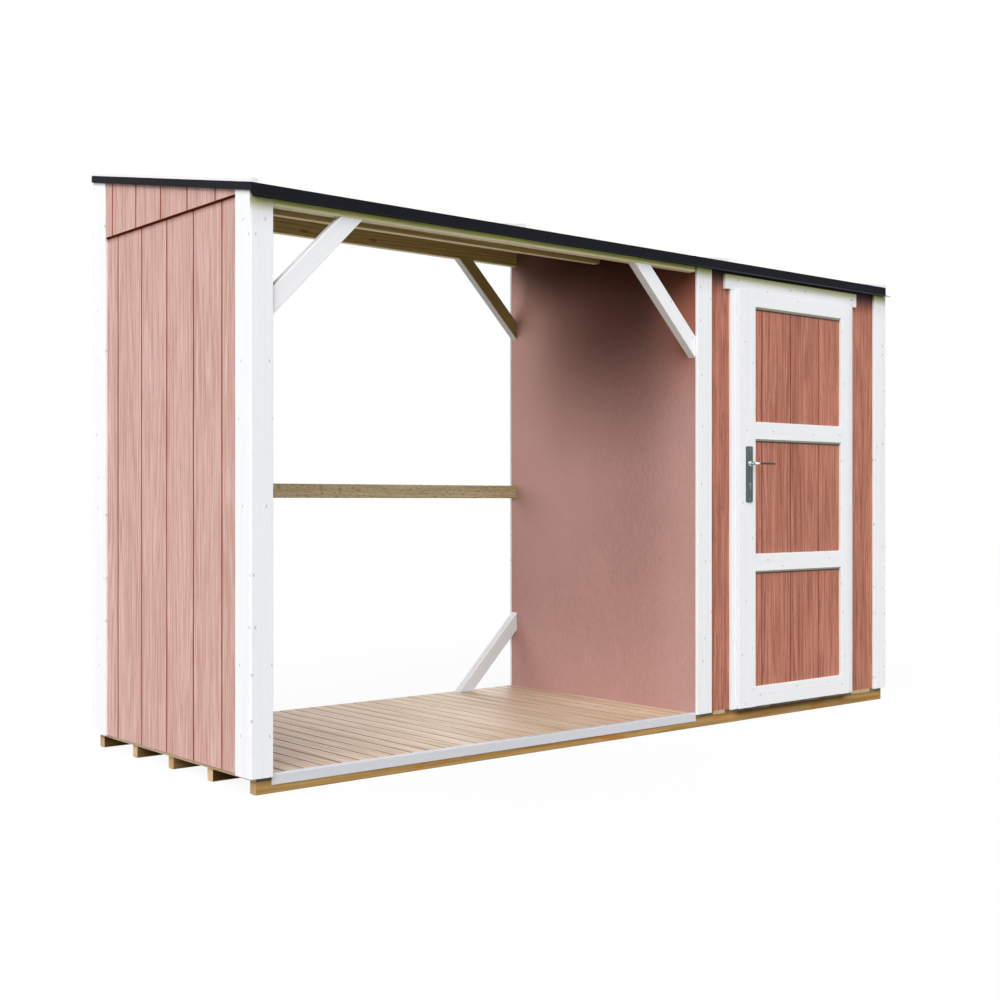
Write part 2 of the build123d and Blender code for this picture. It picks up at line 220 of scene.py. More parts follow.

# Tones of wood, metal, wear and stains, and of painted shade and painted light
GROOVE_SHADE_RED, GROOVE_SHADE_PALE = srgb(122, 52, 38), srgb(146, 68, 50)
GABLE_FOOT_SHADE, LAP_SHADOW, EAVES_SHADOW_RED = srgb(104, 42, 24), srgb(120, 50, 36), srgb(22, 9, 3)
PAINTED_SHEEN, PAINTED_SHEEN_EDGE, FRONT_LIT_RED = srgb(211, 168, 162), srgb(246, 198, 192), srgb(160, 91, 70)
ROOF_SHADE, DEEP_ROOF_SHADE = srgb(72, 36, 26), srgb(56, 28, 18)
KNOT_GREY, EAVES_SHADOW_GREY = srgb(140, 140, 142), srgb(150, 150, 144)
LEAF_EDGE_SHADE, RAIL_BEVEL_SHADE, RAIL_SHADOW = srgb(226, 227, 231), srgb(176, 178, 162), srgb(34, 16, 10)
REAR_SHADE_WHITE, UPPER_BRACE_SHADE = srgb(212, 219, 223), srgb(158, 140, 82)
BEAM_FOOT, BEAM_FOOT_DARK = srgb(244, 236, 204), srgb(224, 213, 176)
TIMBER_UNDER_LIT = srgb(252, 241, 204)
DRIP_DARK, DRIP_LIGHT = srgb(20, 21, 26), srgb(30, 31, 37)
DRIP_HIGHLIGHT, DRIP_WORN = srgb(58, 60, 67), srgb(190, 194, 202)
BEARER_SHADED, BEARER_END, RESIN = srgb(34, 18, 4), srgb(226, 194, 150), srgb(172, 110, 42)
FLOOR_END, FLOOR_JOINT, FLOOR_END_SHADOW = srgb(196, 166, 118), srgb(54, 36, 23), srgb(30, 17, 3)
RAIL_WOOD, RAIL_WOOD_DARK = srgb(208, 195, 158), srgb(166, 151, 110)
STRIP_GREY, BATTEN_WHITE = srgb(209, 211, 218), srgb(236, 236, 238)
BRIGHT_METAL, GREY_METAL, DARK_METAL = srgb(205, 208, 208), srgb(134, 140, 140), srgb(62, 76, 84)


# Meshes


def rounded(u0, u1, v0, v1, radii, steps=4):
    """Cross-section of a board: a rectangle whose corners are quarter circles.

    The corners follow the way round from (u0, v0); a radius of zero leaves a sharp corner.
    """
    radii = np.broadcast_to(radii, 4)
    signs = np.array([(1, 1), (-1, 1), (-1, -1), (1, -1)])
    corners = np.array([(u0, v0), (u1, v0), (u1, v1), (u0, v1)])
    runs = []
    for quarter in range(4):
        count = steps if radii[quarter] > 0 else 1
        angle = math.pi + (quarter + np.linspace(0, 1, count)) * math.pi / 2
        circle = np.stack([np.cos(angle), np.sin(angle)], 1) if count > 1 else -signs[quarter][None]
        runs.append(corners[quarter] + radii[quarter] * (signs[quarter] + circle))
    return np.concatenate(runs)


def grooved(s0, s1, back, face, centres, width, depth):
    """Cross-section of a sheet: straight at the back, with a flat-bottomed groove cut in at each centre."""
    inward = math.copysign(depth, back - face)
    centres = np.sort(np.asarray(centres))
    centres = centres[(centres > s0 + width) & (centres < s1 - width)][::-1]
    steps = np.array([0.5, 0.25, -0.25, -0.5]) * width
    deep = np.array([0, inward, inward, 0]) + face
    along = (centres[:, None] + steps).ravel()
    cuts = np.stack([along, np.tile(deep, len(centres))], 1)
    ends = np.array([(s0, back), (s1, back), (s1, face)])
    shade = np.concatenate([[0, 0, 0], np.tile([1, 1, 1, 0], len(centres)), [0]])
    return np.concatenate([ends, cuts, [(s0, face)]]), shade


def floor_joints(sizes):
    """Places of the joints between the floor boards along X."""
    first = math.ceil((FLOOR_LOW.x - sizes.floor_joint) / sizes.floor_pitch)
    last = math.floor((FLOOR_HIGH.x - sizes.floor_joint) / sizes.floor_pitch)
    return sizes.floor_joint + np.arange(first, last + 1) * sizes.floor_pitch


def facing(outline, column, level):
    """One for the sides of an outline that lie on a level, zero for the others."""
    middle = (outline + np.roll(outline, -1, axis=0))[:, column] / 2
    return (np.abs(middle - level) < 1e-5).astype(float)


class Pile:
    """Solids of one piece, gathered as arrays: rings of points, joined by quads and closed at both ends."""

    def __init__(self):
        self.points, self.faces, self.marks, self.shades, self.count = [], [], [], [], 0

    def add(self, rings, shade=0, caps=(0, 0)):
        """Rings is an array of cross-sections: each is joined to the next, the first and last are capped.

        Shade marks the sides of the outline and caps the two ends, for the finishes to read. The pile is
        given back, so that calls can follow each other.
        """
        rows, sides = rings.shape[:2]
        near = np.arange(sides)
        far = (near + 1) % sides
        base = np.arange(rows - 1)[:, None] * sides + self.count
        quads = np.stack([base + near, base + far, base + sides + far, base + sides + near], -1)
        self.faces += quads.reshape(-1, 4).tolist()
        self.faces.append((near[::-1] + self.count).tolist())
        self.faces.append((near + (rows - 1) * sides + self.count).tolist())
        self.shades.append(np.broadcast_to(shade, (rows - 1, sides)).ravel())
        self.shades.append(np.array(caps))
        self.points.append(rings.reshape(-1, 3))
        self.marks.append(np.full(rows * sides, (len(self.marks) * 0.6180339) % 1))
        self.count += rows * sides
        return self

    def bar(self, axis, outline, start, end, shade=0, caps=(0, 0)):
        """An outline carried straight along one axis; its ends are planes or slopes over the outline."""
        across = [k for k in range(3) if k != axis]
        rings = np.zeros((2, len(outline), 3))
        rings[:, :, across] = outline
        for row, limit in enumerate((start, end)):
            rings[row, :, axis] = limit(*outline.T) if callable(limit) else limit
        return self.add(rings, shade, caps)

    def climb(self, outline, y0, y1):
        """An outline in X and height over the deck's lower face, carried up the roof's slope."""
        rings = np.empty((2, len(outline), 3))
        rings[:, :, 0] = outline[:, 0]
        for row, y in enumerate((y0, y1)):
            rings[row, :, 1] = y
            rings[row, :, 2] = underside(y) + outline[:, 1]
        return self.add(rings)

    def brace(self, corner_x, corner_z, way_x, way_z, reach, width, y0, y1, radius):
        """A rounded strut at forty-five degrees, cut level at the beam and upright at the post."""
        lean = np.array([-way_x, way_z]) / math.sqrt(2)
        cross = np.array([way_x, way_z]) / math.sqrt(2)
        outer = reach / math.sqrt(2)
        outline = rounded(outer - width, outer, y0, y1, radius)
        foot = np.array([corner_x, corner_z]) + outline[:, :1] * cross
        rings = np.empty((2, len(outline), 3))
        rings[:, :, 1] = outline[:, 1]
        level = (corner_z - foot[:, 1]) / lean[1]
        upright = (corner_x - foot[:, 0]) / lean[0]
        rings[0][:, [0, 2]] = foot + level[:, None] * lean
        rings[1][:, [0, 2]] = foot + upright[:, None] * lean
        # The front face is marked, where some braces take painted shade
        return self.add(rings, facing(outline, 1, y0))

    def turned(self, origin, axis, profile, sides=16):
        """A profile of radius and height turned about an axis."""
        axis = Vector(axis).normalized()
        side = axis.orthogonal().normalized()
        other = axis.cross(side)
        angle = np.arange(sides) * 2 * math.pi / sides
        round_ = np.cos(angle)[:, None] * np.array(side) + np.sin(angle)[:, None] * np.array(other)
        profile = np.asarray(profile)
        rings = profile[:, :1, None] * round_ + profile[:, 1:, None] * np.array(axis)
        self.add(rings + np.array(origin))

    def tube(self, path, radii, sides=20):
        """A circle of changing radius carried along a path that lies level."""
        path, radii = np.asarray(path, float), np.asarray(radii, float)
        tangent = np.gradient(path, axis=0)
        tangent /= np.linalg.norm(tangent, axis=1)[:, None]
        up = np.array([0, 0, 1.0])
        side = np.cross(tangent, up)
        angle = np.arange(sides) * 2 * math.pi / sides
        ring = np.cos(angle)[None, :, None] * up + np.sin(angle)[None, :, None] * side[:, None, :]
        self.add(path[:, None, :] + radii[:, None, None] * ring)

    def make(self, name, body, slot, material, *nodes, smooth=0):
        """The gathered solids as one object that rides on a body and stands for CAD nodes."""
        mesh = bpy.data.meshes.new(name)
        mesh.from_pydata(np.concatenate(self.points).tolist(), [], self.faces)
        shape = bmesh.new()
        shape.from_mesh(mesh)
        bmesh.ops.recalc_face_normals(shape, faces=shape.faces)
        shape.to_mesh(mesh)
        shape.free()
        board = mesh.attributes.new("board", "FLOAT", "POINT")
        board.data.foreach_set("value", np.concatenate(self.marks).astype(np.float32))
        shade = mesh.attributes.new("shade", "FLOAT", "FACE")
        shade.data.foreach_set("value", np.concatenate(self.shades).astype(np.float32))
        if smooth:
            mesh.polygons.foreach_set("use_smooth", np.ones(len(mesh.polygons), bool))
            mesh.set_sharp_from_angle(angle=math.radians(smooth))
        mesh.materials.append(material)
        piece = bpy.data.objects.new(name, mesh)
        bpy.context.scene.collection.objects.link(piece)
        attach(piece, body)
        if nodes:
            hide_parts(*nodes)


# Finishes


class Value:
    """One shader value; sums on it add Math nodes."""

    def __init__(self, paint, socket):
        self.paint, self.socket = paint, socket

    def math(self, operation, *terms):
        return self.paint.node("ShaderNodeMath", {"operation": operation}, dict(enumerate(terms)))

    def __add__(self, other):
        return self.math("ADD", self, other)

    def __sub__(self, other):
        return self.math("SUBTRACT", self, other)

    def __rsub__(self, other):
        return self.math("SUBTRACT", other, self)

    def __mul__(self, other):
        return self.math("MULTIPLY", self, other)

    def __truediv__(self, other):
        return self.math("DIVIDE", self, other)

    def __rtruediv__(self, other):
        return self.math("DIVIDE", other, self)

    __radd__, __rmul__ = __add__, __mul__

    def sine(self):
        return self.math("SINE", self)

    def floor(self):
        return self.math("FLOOR", self)

    def ease(self, low, high):
        """Zero below low, one above high, and a smooth step between."""
        return self.paint.node(
            "ShaderNodeMapRange",
            {"interpolation_type": "SMOOTHSTEP"},
            {0: self, 1: low, 2: high, 3: 0.0, 4: 1.0},
        )


class Paint:
    """A node material under construction."""

    def __init__(self, name, roughness, metallic=0.0, specular=0.5):
        self.material = bpy.data.materials.new(name)
        self.material.use_nodes = True
        self.tree = self.material.node_tree
        self.tree.nodes.clear()
        out = self.tree.nodes.new("ShaderNodeOutputMaterial")
        self.shader = self.tree.nodes.new("ShaderNodeBsdfPrincipled")
        self.tree.links.new(self.shader.outputs[0], out.inputs[0])
        self.set("Roughness", roughness)
        self.set("Metallic", metallic)
        self.set("Specular IOR Level", specular)
        self.place = self.node("ShaderNodeTexCoord", out=3)

    def node(self, kind, settings=None, inputs=None, out=0):
        node = self.tree.nodes.new(kind)
        for key, value in (settings or {}).items():
            setattr(node, key, value)
        for key, value in (inputs or {}).items():
            self.feed(node.inputs[key], value)
        return Value(self, node.outputs[out])

    def feed(self, socket, value):
        if isinstance(value, Value):
            self.tree.links.new(value.socket, socket)
        else:
            socket.default_value = value

    def set(self, socket, value):
        self.feed(self.shader.inputs[socket], value)

    def mix(self, share, low, high):
        low, high = ((*c, 1) if not isinstance(c, Value) else c for c in (low, high))
        return self.node(
            "ShaderNodeMix", {"data_type": "RGBA", "clamp_factor": True}, {0: share, 6: low, 7: high}, 2
        )

    def axis(self, index):
        """One Object coordinate as a value."""
        return self.node("ShaderNodeSeparateXYZ", inputs={0: self.place}, out=index)

    def board(self):
        """A number that differs from board to board."""
        return self.node("ShaderNodeAttribute", {"attribute_name": "board"}, out=2)

    def shade(self):
        """The mark on a face: a groove, an end or a side in the shade."""
        return self.node("ShaderNodeAttribute", {"attribute_name": "shade"}, out=2)

    def grain_place(self, turn, plank=0.0):
        """Object coordinates turned so that the grain runs along Z, set off from board to board."""
        shift = self.board() * 23.0 + plank
        offset = self.node("ShaderNodeCombineXYZ", inputs={0: shift, 1: shift, 2: shift})
        turned = self.node(
            "ShaderNodeMapping", {"vector_type": "POINT"}, {"Vector": self.place, "Rotation": turn}
        )
        return self.node("ShaderNodeVectorMath", {"operation": "ADD"}, {0: turned, 1: offset})

    def noise(self, place, across, along, detail=4.0, rough=0.55):
        """Noise stretched along the grain; across and along are its counts to the metre."""
        stretched = self.node("ShaderNodeMapping", {}, {"Vector": place, "Scale": (across, across, along)})
        settings = {"Vector": stretched, "Scale": 1.0, "Detail": detail, "Roughness": rough}
        return self.node("ShaderNodeTexNoise", {}, settings)

    def spots(self, place, across, along, size, share):
        """Round spots in a scattered share of the cells of a flat cell pattern; counts are to the metre."""
        sides = [self.node("ShaderNodeSeparateXYZ", inputs={0: place}, out=k) for k in range(3)]
        level = (sides[0] + sides[1]) * across
        flat = self.node("ShaderNodeCombineXYZ", inputs={0: level, 1: sides[2] * along})
        cell = {"Vector": flat, "Scale": 1.0}
        distance = self.node("ShaderNodeTexVoronoi", {"voronoi_dimensions": "2D"}, cell)
        colour = self.node("ShaderNodeTexVoronoi", {"voronoi_dimensions": "2D"}, cell, 1)
        chance = self.node("ShaderNodeSeparateColor", inputs={0: colour})
        near = 1 - distance.ease(size * 0.4, size)
        return near * chance.ease(1 - share, 1 - share + 0.01)

    def done(self, colour, roughness=None, height=None, distance=None):
        """The material with its colour and, where they are given, a roughness and a bump."""
        self.set("Base Color", colour)
        if roughness is not None:
            self.set("Roughness", roughness)
        if height is not None:
            self.set("Normal", self.node("ShaderNodeBump", inputs={"Height": height, "Distance": distance}))
        return self.material


GRAIN_TURNS = {
    "X": (0, -math.pi / 2, 0),
    "Y": (math.pi / 2, 0, 0),
    "Z": (0, 0, 0),
    "RISING": (0, -math.pi / 4, 0),
    "FALLING": (0, math.pi / 4, 0),
}


def eaves(paint, reach):
    """Mask of the painted shade under the eaves: one at the foot of the fascia on the front, fading over a
    reach below it.
    """
    height = paint.axis(2).ease(FASCIA_LOW.z - reach, FASCIA_LOW.z - 0.002)
    return height * (1 - paint.axis(1).ease(FACE_FRONT + 0.004, FACE_FRONT + 0.008))


def red_paint(name, pale=False, shade=False, grooves=None, lap=None):
    """Thin paint on a grained sheet: fibres along the height, and flames as level lines of a slow drift.

    Grooves gives the axis across the sheet and the place of one groove: the grain changes at each plank.
    Lap is the height of the sheet above, whose foot throws a painted shadow on the paint just below it.
    """
    colours = bpy.context.scene.log_store_colours
    paint = Paint(name, 0.62, specular=0.0 if pale else 0.2)
    plank = 0.0
    if grooves:
        axis, first = grooves
        plank = ((paint.axis(axis) - first) / bpy.context.scene.log_store_sizes.groove_pitch).floor() * 5.3
    place = paint.grain_place(GRAIN_TURNS["Z"], plank)
    fibres = paint.noise(place, 150, 3.0, 5.0, 0.68)
    drift = paint.noise(place, 7, 0.45, 2.0, 0.45)
    flames = (drift * 95.0).sine()
    pores = paint.noise(place, 200, 16.0, 2.0, 0.5).ease(0.58, 0.70)
    tone = (fibres - 0.5) * (4.2 if pale else 3.4) + flames * 0.18 + (drift - 0.5) * 0.8 + 0.52
    # Pale sheets take the paler red, which is painted reflection
    light = colours.red_pale if pale else colours.red
    dark = colours.red_pale_dark if pale else colours.red_dark
    colour = paint.mix(tone, dark, light)
    colour = paint.mix(pores * (0.22 if pale else 0.5), colour, tint(dark, 0.55))
    mark = paint.shade()
    # Groove faces darkened: painted shade in the grooves
    colour = paint.mix(mark.ease(0, 1), colour, GROOVE_SHADE_PALE if pale else GROOVE_SHADE_RED)
    # The gables' bevelled foot darkened: painted shade
    colour = paint.mix(mark.ease(1, 2), colour, GABLE_FOOT_SHADE)
    if shade:
        # Painted shadow below the fascia
        colour = paint.mix(eaves(paint, 0.12), colour, EAVES_SHADOW_RED)
    if lap:
        # Painted shadow just below the foot of the sheet above
        colour = paint.mix(paint.axis(2).ease(lap - 0.024, lap) * 0.5, colour, LAP_SHADOW)
    return paint.done(colour, 0.55 + fibres * 0.2, fibres * 0.7 - pores * 0.4 + flames * 0.1, 0.0008)


def lining_paint(name):
    """Smooth painted sheet with a fine mottle: a painted sheen towards both open ends, painted light on the
    front edge high up, and painted shade under the roof's slope.
    """
    colours = bpy.context.scene.log_store_colours
    paint = Paint(name, 0.5, specular=0.0)
    y, z = paint.axis(1), paint.axis(2)
    mottle = paint.noise(paint.place, 190, 40, 4.0, 0.7)
    cloud = paint.noise(paint.place, 3, 2, 2.0)
    base = colours.red_lining
    patches = (mottle * 0.7 + cloud * 0.3).ease(0.3, 0.7)
    colour = paint.mix(patches, tint(base, 0.8), tint(base, 1.06))
    # Painted sheen towards both open ends and on the front edge
    sheen = y.ease(-0.3, 0.45) * (0.35 + 0.65 * z.ease(0.4, 1.1))
    front = 1 - y.ease(-0.62, -0.28)
    sheen = sheen + 0.35 * front
    grain = 0.8 + 0.4 * mottle
    bright = y.ease(0.2, 0.6) * z.ease(0.9, 1.5)
    pale = paint.mix(bright, PAINTED_SHEEN, PAINTED_SHEEN_EDGE)
    colour = paint.mix(sheen * grain, colour, pale)
    # Painted shade under the roof, weaker towards the rear
    roof_shade = z.ease(0.98, 2.1) * (1 - 0.9 * y.ease(-0.1, 0.6))
    roof_shade = roof_shade * (0.4 + 0.6 * y.ease(-0.6, -0.25))
    colour = paint.mix(roof_shade * 0.85, colour, ROOF_SHADE)
    # Painted light on the front edge, high up
    colour = paint.mix(front * z.ease(1.3, 1.75) * 0.8, colour, FRONT_LIT_RED)
    # Deeper painted shade close under the roof's lower face
    rear = y.ease(-0.1, 0.3) - 0.5 * y.ease(0.46, 0.6)
    below_roof = z - ROOF_SLOPE * y + 0.1 * rear
    colour = paint.mix(below_roof.ease(1.84, 2.1) * 0.8, colour, DEEP_ROOF_SHADE)
    return paint.done(colour, 0.45 + mottle * 0.15, mottle, 0.0003)


def white_paint(name, turn="Z", tinge=False, level=(1, 1, 1), marks=()):
    """Satin white on planed boards: faint streaks along the grain and small grey knots."""
    colours = bpy.context.scene.log_store_colours
    paint = Paint(name, 0.5)
    place = paint.grain_place(GRAIN_TURNS[turn])
    streak = paint.noise(place, 70, 1.5, 5.0, 0.6)
    knots = paint.spots(place, 15, 8.0, 0.065, 0.55)
    flecks = paint.noise(place, 170, 45.0, 3.0, 0.6).ease(0.5, 0.72)
    base = tuple(c * share for c, share in zip(colours.white, level))
    colour = paint.mix(streak.ease(0.35, 0.7) * 0.55 + flecks * 0.45, base, tint(base, 0.93))
    colour = paint.mix(knots * (0.15 + streak * 0.7), colour, KNOT_GREY)
    # Under the eaves: painted shade, grey lower down and tinted green at the fascia's foot
    if tinge:
        colour = paint.mix(eaves(paint, 0.12) * 0.3, colour, EAVES_SHADOW_GREY)
        edge = eaves(paint, 0.054) * (0.7 + streak * 0.6)
        colour = paint.mix(edge, colour, tint(colours.green_shade, 0.85))
    for number, tone in enumerate(marks):
        share = paint.shade().ease(number, number + 1) * (0.8 + streak * 0.4)
        colour = paint.mix(share, colour, tone)
    return paint.done(colour, 0.42 + streak * 0.2, streak - knots * 0.5, 0.0004)


def beam_paint(name):
    """The eaves beam: pale at the foot, and higher up its face darkened to a green painted shade, over
    fibres along the length.
    """
    colours = bpy.context.scene.log_store_colours
    paint = Paint(name, 0.6)
    place = paint.grain_place(GRAIN_TURNS["X"])
    streak = paint.noise(place, 60, 2.0, 5.0, 0.65)
    # The face takes a green painted shade; the foot and the underside stay pale
    face = paint.mix(streak.ease(0.3, 0.7), tint(colours.green_shade, 1.15), tint(colours.green_shade, 2.3))
    under = paint.mix(streak.ease(0.3, 0.7), BEAM_FOOT, BEAM_FOOT_DARK)
    green = paint.axis(2).ease(BEAM_LOW.z + 0.002, BEAM_LOW.z + 0.014) * (1 - paint.shade())
    return paint.done(paint.mix(green, under, face), height=streak, distance=0.0005)


def drip_finish(name):
    """Dark coat on the lip, with a painted highlight over the shed, and worn bright at its free end."""
    paint = Paint(name, 0.7, specular=0.1)
    worn = paint.axis(0).ease(FELT_HIGH.x - 0.002, FELT_HIGH.x + 0.006)
    mottle = paint.noise(paint.place, 90, 90, 2.0)
    dark = paint.mix(mottle, DRIP_DARK, DRIP_LIGHT)
    highlight = paint.mix(paint.axis(0).ease(0.1, 0.8), dark, DRIP_HIGHLIGHT)
    return paint.done(paint.mix(worn, highlight, DRIP_WORN))


def bare_wood(
    name, light, dark, turn, rough=0.6, rings=55.0, knot_share=0.3, marks=(), vary=0.0, flecks=0.0,
    fade=None, resin=None, damp=None, cover=None,
):
    """Bare softwood: late-wood lines as a sine over the width, bent by slow noise, with fibres and knots.

    Marks are the tones of the marked faces, vary the strength of slow streaks, flecks the share of short
    dark dashes along the grain, resin the tone of patches. Fade is the stretch along X over which the
    joints between boards grow fainter. The last two arguments paint shade: the first is the height of
    the wood's upper edge, darkened just below it as painted shade, and the second the stretch along X
    where a deeper painted shadow reaches lower down, below a board in front.
    """
    paint = Paint(name, rough, specular=0.1 if damp else 0.5)
    place = paint.grain_place(GRAIN_TURNS[turn])
    fibres = paint.noise(place, 160, 5.0, 4.0, 0.6)
    drift = paint.noise(place, 6, 0.8, 2.0, 0.5)
    across = paint.node("ShaderNodeSeparateXYZ", inputs={0: place})
    deep = paint.node("ShaderNodeSeparateXYZ", inputs={0: place}, out=1)
    late = ((across + deep * 0.7) * (rings * 2 * math.pi) + drift * 34.0).sine().ease(0.1, 1.0)
    knots = paint.spots(place, 9, 3.5, 0.1, knot_share)
    tone = late * 0.45 + fibres.ease(0.35, 0.7) * 0.4 + paint.board() * 0.25
    if vary:
        streak = paint.noise(place, 45, 1.6, 3.0, 0.6)
        tone = tone * 0.6 + (streak - 0.5) * (3.8 * vary) + 0.2
    colour = paint.mix(tone, light, dark)
    colour = paint.mix(knots * 0.6, colour, tint(dark, 0.45))
    if flecks:
        dashes = paint.noise(place, 220, 42.0, 3.0, 0.65).ease(0.51, 0.64)
        colour = paint.mix(dashes * flecks, colour, tint(dark, 0.3))
    if resin:
        colour = paint.mix(paint.noise(place, 20, 6.0, 2.0).ease(0.56, 0.7) * 0.7, colour, resin)
    for number, tone in enumerate(marks):
        share = paint.shade().ease(number, number + 1) * (0.75 + fibres * 0.3)
        if vary:
            share = share * (0.45 + 0.55 * paint.noise(place, 9, 2.5, 2.0).ease(0.3, 0.62))
        if fade and number == 1:
            share = share * (1 - 0.5 * paint.axis(0).ease(*fade))
        colour = paint.mix(share, colour, tone)
    # Painted shade under the upper edge, and a deeper painted shadow below a board in front
    if damp:
        shadow_tone = tint(dark, 0.2)
        colour = paint.mix(paint.axis(2).ease(damp - 0.010, damp - 0.003) * 0.35, colour, shadow_tone)
        start, end = (paint.axis(0).ease(x - 0.03, x + 0.03) for x in cover)
        below = start * (1 - end) * paint.axis(2).ease(damp - 0.032, damp - 0.002)
        colour = paint.mix(below * 0.85, colour, shadow_tone)
    relief = fibres * 0.5 - late * 0.4 - knots * 0.5
    return paint.done(colour, rough - 0.08 + fibres * 0.16, relief, 0.0006)


def felt_finish(name):
    """Bitumen felt: dark mineral grains of slightly different greys."""
    colours = bpy.context.scene.log_store_colours
    paint = Paint(name, 0.85, specular=0.15)
    grains = paint.noise(paint.place, 900, 900, 2.0, 0.8)
    cloud = paint.noise(paint.place, 5, 5, 3.0)
    patches = (grains * 0.7 + cloud * 0.3).ease(0.35, 0.7)
    colour = paint.mix(patches, tint(colours.felt, 0.6), tint(colours.felt, 1.2))
    return paint.done(colour, height=grains, distance=0.0006)


def metal(name, colour, roughness, turn="X"):
    """Metal with fine drawn lines along its length."""
    paint = Paint(name, roughness, 1.0)
    drawn = paint.noise(paint.grain_place(GRAIN_TURNS[turn]), 700, 6.0, 3.0)
    colour = paint.mix(drawn, tint(colour, 0.88), colour)
    return paint.done(colour, roughness - 0.06 + drawn * 0.12, drawn, 0.00015)


def coat(name, colour, roughness):
    """Plain coat of paint with a slight mottle."""
    paint = Paint(name, roughness)
    mottle = paint.noise(paint.place, 90, 90, 3.0)
    colour = paint.mix(mottle.ease(0.3, 0.7), tint(colour, 0.95), colour)
    return paint.done(colour, roughness - 0.05 + mottle * 0.1)


def finish(name, builder, *args, **options):
    """A finish by name, made once; no finish has the name of a slot."""
    return bpy.data.materials.get(name) or builder(name, *args, **options)


WHITE_KINDS = {
    "plain": {},
    # Painted shade below the fascia
    "eaves": {"tinge": True},
    # A little darker, as painted shade
    "casing": {"level": (0.955, 0.955, 0.955)},
    # The lapping edges take painted shade
    "leaf": {"marks": (LEAF_EDGE_SHADE,)},
    # Bevels under the rails and the strips below them take painted shade
    "rail": {"marks": (RAIL_BEVEL_SHADE, RAIL_SHADOW)},
    # The front faces take painted shade
    "rear": {"marks": (REAR_SHADE_WHITE,)},
    # Darker overall, with a painted shade on the front faces, standing in for the shade under the roof
    "sooted": {"level": (0.84, 0.85, 0.84), "marks": (UPPER_BRACE_SHADE,)},
}


def white(turn="Z", kind="plain"):
    """White paint by the way of its grain and by the place of the board."""
    return finish(f"white_{turn.lower()}_{kind}", white_paint, turn, **WHITE_KINDS[kind])


def timber(turn):
    """Impregnated timber by the way of its grain, with painted light making its underside paler."""
    colours = bpy.context.scene.log_store_colours
    name = f"timber_{turn.lower()}"
    return finish(name, bare_wood, colours.timber, colours.timber_dark, turn, marks=(TIMBER_UNDER_LIT,))


class StoreOperator(bpy.types.Operator):
    """Shared by the pieces of the store."""

    bl_options = {"REGISTER"}

    def execute(self, context):
        self.build(context.scene.log_store_sizes, context.scene.log_store_colours)
        return {"FINISHED"}


class LOGSTORE_OT_base(StoreOperator):
    """Bearers, floor boards and the metal strip along the floor's edge"""

    bl_idname = "log_store.base"
    bl_label = "Base"

    def build(self, sizes, colours):
        low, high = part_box("floor_bearers")
        wood = finish(
            "bearer_grain", bare_wood, colours.bearer, colours.bearer_dark, "X", 0.65, 40.0, 0.35,
            marks=(BEARER_SHADED, BEARER_END), vary=0.7, resin=RESIN, damp=high.z,
            cover=(LEAF_LOW.x, LEAF_HIGH.x),
        )
        pile = Pile()
        for number, y in enumerate(np.linspace(low.y, high.y - sizes.bearer_width, sizes.bearers)):
            outline = rounded(y, y + sizes.bearer_width, low.z, high.z, sizes.timber_arris)
            pile.bar(0, outline, low.x, high.x, facing(outline, 0, y) * (number > 0), (2, 2))
        pile.make("bearers", "store", "bearer_wood", wood, "floor_bearers")

        planed = finish(
            "floor_pine", bare_wood, colours.pine, colours.pine_dark, "Y", 0.5, 50.0, 0.12,
            marks=(FLOOR_END, FLOOR_JOINT, FLOOR_END_SHADOW), vary=1.0, flecks=0.16, fade=(-1.4, -0.5),
        )
        casing_low, casing_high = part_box("door_casing")
        recessed = [
            (BAY_RIGHT + sizes.middle_board, casing_low.x), (casing_high.x, RIGHT - sizes.right_board)
        ]
        joints = floor_joints(sizes)
        half, hairline = sizes.floor_gap / 2, 0.0001
        lap = half - hairline
        starts = np.concatenate([[FLOOR_LOW.x], joints + half])
        ends = np.concatenate([joints - half, [FLOOR_HIGH.x]])
        shelf = FLOOR_HIGH.z - sizes.floor_slot
        pile = Pile()
        for x0, x1 in zip(starts, ends):
            if x1 - x0 < 4 * sizes.arris:
                continue
            # Below the slot the boards run on to meet each other
            edge = rounded(x0, x1, shelf, FLOOR_HIGH.z, (0, 0, sizes.arris, sizes.arris))
            out0 = x0 - lap if x0 > FLOOR_LOW.x else x0 + lap
            out1 = x1 + lap if x1 < FLOOR_HIGH.x else x1 - lap
            tongue = [(out0, shelf), (out0, FLOOR_LOW.z), (out1, FLOOR_LOW.z), (out1, shelf)]
            edge = np.concatenate([edge[:1], tongue, edge[1:]])
            # Joints are marked 2, outer edges and ends 1, front ends below a board 3, which take a painted
            # shadow
            sides = 2 * (1 - facing(edge, 1, FLOOR_LOW.z) - facing(edge, 1, FLOOR_HIGH.z))
            middle = (edge + np.roll(edge, -1, axis=0))[:, 0] / 2
            sides[(middle < FLOOR_LOW.x + half) | (middle > FLOOR_HIGH.x - half)] = 1
            bare = any(start < (x0 + x1) / 2 < end for start, end in recessed)
            pile.bar(1, edge, FLOOR_LOW.y, FLOOR_HIGH.y, sides, (1.4 if bare else 3, 1))
        pile.make("floor_boards", "store", "pine", planed, "floor")

        low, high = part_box("floor_edge_strip")
        thick = high.z - FLOOR_HIGH.z
        outline = np.array([
            (low.y, low.z), (low.y + thick, low.z), (low.y + thick, FLOOR_HIGH.z), (high.y, FLOOR_HIGH.z),
            (high.y, high.z), (low.y + thick, high.z), (low.y + thick * 0.3, high.z - thick * 0.3),
            (low.y, FLOOR_HIGH.z),
        ])
        pile = Pile().bar(0, outline, low.x, BAY_RIGHT)
        grey = finish("strip_grey", coat, STRIP_GREY, 0.4)
        pile.make("floor_edge_metal", "store", "edge_strip", grey, "floor_edge_strip")


